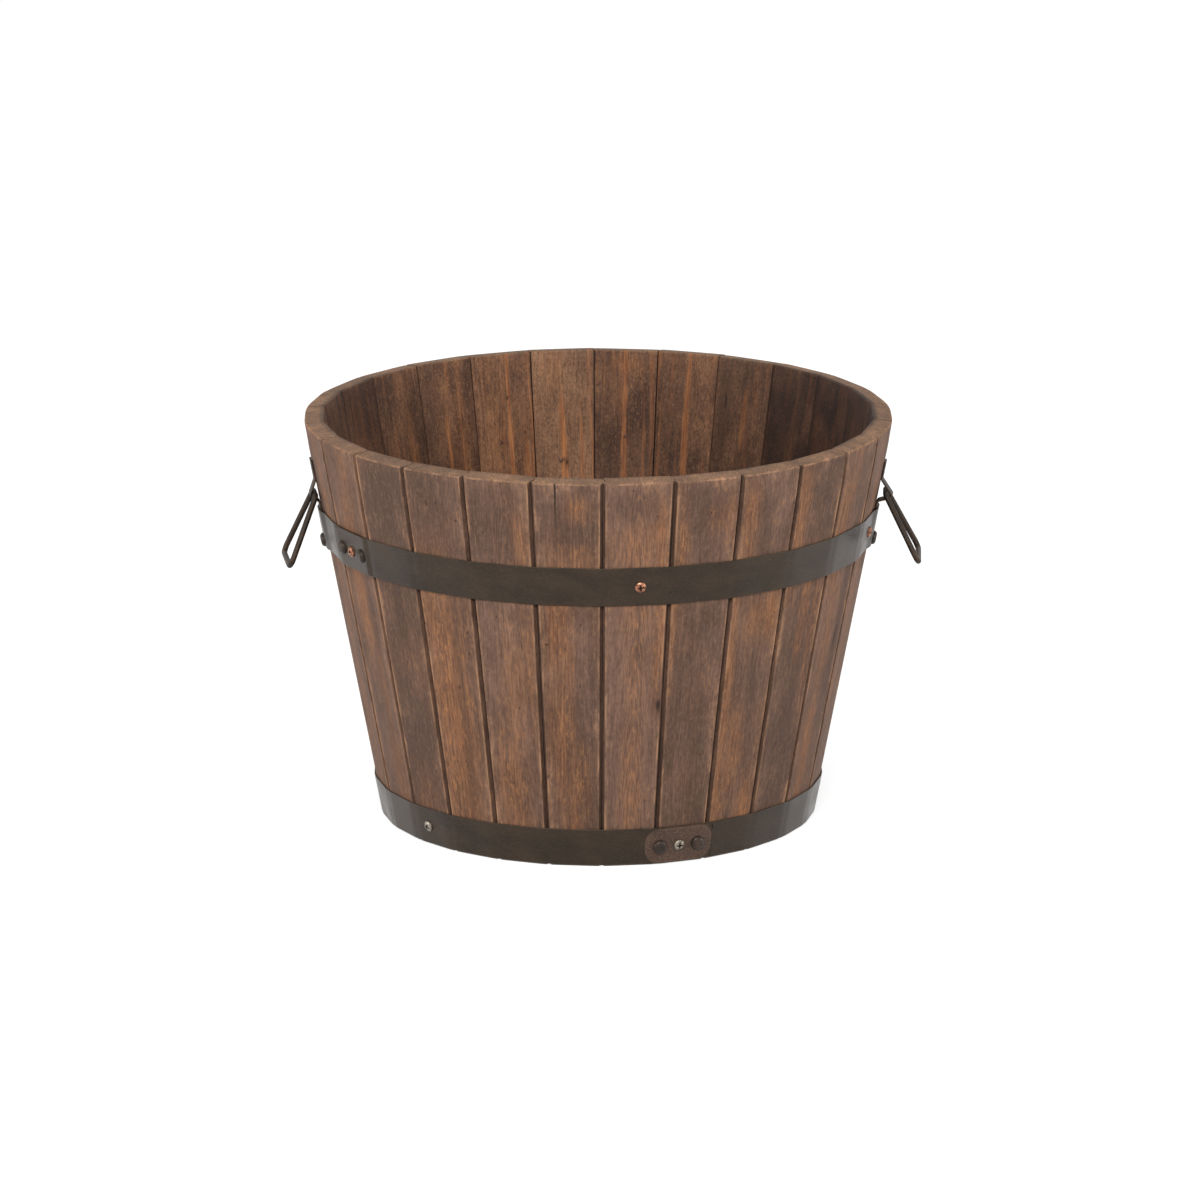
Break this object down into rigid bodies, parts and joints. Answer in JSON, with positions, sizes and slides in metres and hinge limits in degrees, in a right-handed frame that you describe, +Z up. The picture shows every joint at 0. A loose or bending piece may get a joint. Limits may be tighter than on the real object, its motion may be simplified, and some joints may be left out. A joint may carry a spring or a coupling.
{
  "type": "barrel planter",
  "caption": "Round tapered planter tub of lapped wooden staves in two steel hoops, open at the top, with a boarded base and a drop ring handle on each side.",
  "frame": {"origin": "on the floor, on the tub's own axis, which the box centre is near", "axes": "+Z up; -Y is the front of the picture, where a joint between two staves faces; the drop rings hang towards -X and +X, a little forward of the middle"},
  "size_m": [0.5421, 0.499, 0.3458],
  "materials": {
    "stained_wood": "brown stain worn to bare orange-brown wood in streaks and along the edges, matt",
    "base_wood": "rougher boards in the same brown stain, matt",
    "hoop_steel": "black-brown, semi-matt, a little rust round one lap",
    "handle_steel": "black, semi-gloss, worn to brown at the grip",
    "rivets": "black, semi-gloss domes",
    "copper_screws": "copper-plated steel, dulled",
    "grey_screws": "zinc-plated steel, dulled"
  },
  "bodies": {
    "tub": {"stave_01": "stained_wood", "stave_02": "stained_wood", "stave_03": "stained_wood", "stave_04": "stained_wood", "stave_05": "stained_wood", "stave_06": "stained_wood", "stave_07": "stained_wood", "stave_08": "stained_wood", "stave_09": "stained_wood", "stave_10": "stained_wood", "stave_11": "stained_wood", "stave_12": "stained_wood", "stave_13": "stained_wood", "stave_14": "stained_wood", "stave_15": "stained_wood", "stave_16": "stained_wood", "stave_17": "stained_wood", "stave_18": "stained_wood", "stave_19": "stained_wood", "stave_20": "stained_wood", "stave_21": "stained_wood", "stave_22": "stained_wood", "stave_23": "stained_wood", "stave_24": "stained_wood", "stave_25": "stained_wood", "stave_26": "stained_wood", "upper_hoop": "hoop_steel", "lower_hoop": "hoop_steel", "upper_hoop_screws": "copper_screws", "lower_hoop_screws": "grey_screws", "upper_hoop_rivets": "rivets", "lower_hoop_rivets": "rivets", "base_board_1": "base_wood", "base_board_2": "base_wood", "base_board_3": "base_wood", "base_board_4": "base_wood", "base_board_5": "base_wood", "front_batten": "base_wood", "rear_batten": "base_wood", "batten_screws": "grey_screws", "left_handle_strap": "handle_steel", "right_handle_strap": "handle_steel", "left_handle_rivet": "rivets", "right_handle_rivet": "rivets"},
    "left_ring": {"left_handle_ring": "handle_steel"},
    "right_ring": {"right_handle_ring": "handle_steel"}
  },
  "joints": [
    {"name": "left_ring_swing", "type": "hinge", "parent": "tub", "child": "left_ring", "pos_m": [-0.23969, -0.0291, 0.28308], "axis": [-0.1205, 0.9927, 0], "range_deg": [-32, 145]},
    {"name": "right_ring_swing", "type": "hinge", "parent": "tub", "child": "right_ring", "pos_m": [0.24222, -0.02941, 0.28259], "axis": [-0.051, -0.9987, 0], "range_deg": [-38, 142]}
  ]
}
